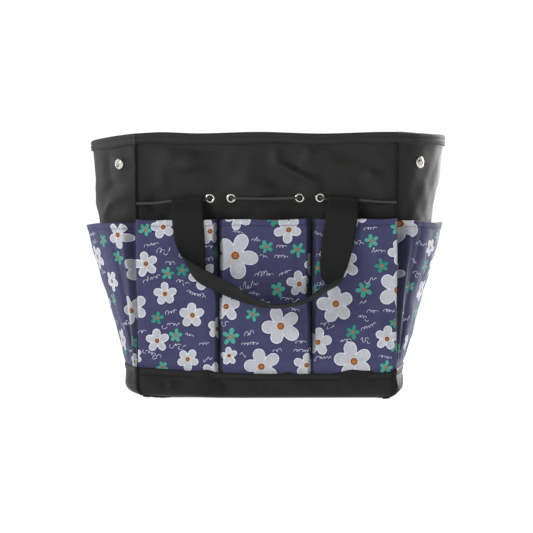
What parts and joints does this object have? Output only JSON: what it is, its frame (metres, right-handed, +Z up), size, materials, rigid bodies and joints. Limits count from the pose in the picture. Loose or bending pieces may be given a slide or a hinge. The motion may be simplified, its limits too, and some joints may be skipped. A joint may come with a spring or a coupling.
{
  "type": "garden tool bag",
  "caption": "Open-top fabric tote for garden tools, with printed outside pockets, webbing handles that swing up, an elastic retaining cord and a loose base board.",
  "frame": {"origin": "centre of the base on the ground", "axes": "+Z up, the front faces -Y, +X is the bag's right-hand end seen from the front"},
  "size_m": [0.3826, 0.235, 0.276],
  "materials": {
    "printed_cloth": "printed plain-weave cloth, daisies on an indigo ground",
    "webbing": "woven polyester webbing",
    "elastic": "braided elastic cord",
    "nickel": "bright nickel plate",
    "board": "matt board",
    "black_cloth": "black oxford cloth with a faint sheen"
  },
  "bodies": {
    "bag": {"back_elastic_cord": "elastic", "back_eyelet_1": "nickel", "back_eyelet_2": "nickel", "back_eyelet_3": "nickel", "back_eyelet_4": "nickel", "back_eyelet_washer_1": "nickel", "back_eyelet_washer_2": "nickel", "back_eyelet_washer_3": "nickel", "back_eyelet_washer_4": "nickel", "back_handle_tab_left": "webbing", "back_handle_tab_right": "webbing", "back_panel": "black_cloth", "back_pocket_centre": "printed_cloth", "back_pocket_left": "printed_cloth", "back_pocket_right": "printed_cloth", "base_band_back": "black_cloth", "base_band_front": "black_cloth", "base_band_left": "black_cloth", "base_band_right": "black_cloth", "base_panel": "black_cloth", "front_elastic_cord": "elastic", "front_eyelet_1": "nickel", "front_eyelet_2": "nickel", "front_eyelet_3": "nickel", "front_eyelet_4": "nickel", "front_eyelet_washer_1": "nickel", "front_eyelet_washer_2": "nickel", "front_eyelet_washer_3": "nickel", "front_eyelet_washer_4": "nickel", "front_handle_tab_left": "webbing", "front_handle_tab_right": "webbing", "front_panel": "black_cloth", "front_pocket_centre": "printed_cloth", "front_pocket_left": "printed_cloth", "front_pocket_right": "printed_cloth", "left_gusset": "black_cloth", "left_snap_socket": "nickel", "left_snap_socket_cap": "nickel", "left_snap_stud": "nickel", "left_snap_stud_cap": "nickel", "right_gusset": "black_cloth", "right_snap_socket": "nickel", "right_snap_socket_cap": "nickel", "right_snap_stud": "nickel", "right_snap_stud_cap": "nickel", "rim_binding_back": "black_cloth", "rim_binding_front": "black_cloth", "rim_binding_left": "black_cloth", "rim_binding_right": "black_cloth", "side_pocket_left": "printed_cloth", "side_pocket_right": "printed_cloth"},
    "front_handle": {"front_handle_strap": "webbing"},
    "back_handle": {"back_handle_strap": "webbing"},
    "base_board": {"base_board": "board"}
  },
  "joints": [
    {"name": "front_handle_swing", "type": "hinge", "parent": "bag", "child": "front_handle", "pos_m": [0, -0.07474, 0.20509], "axis": [-1, 0, 0], "range_deg": [0, 145]},
    {"name": "back_handle_swing", "type": "hinge", "parent": "bag", "child": "back_handle", "pos_m": [0, 0.07474, 0.20509], "axis": [1, 0, 0], "range_deg": [0, 145]},
    {"name": "base_board_lift", "type": "slide", "parent": "bag", "child": "base_board", "axis": [0, 0, 1], "range_m": [0, 0.3]}
  ]
}
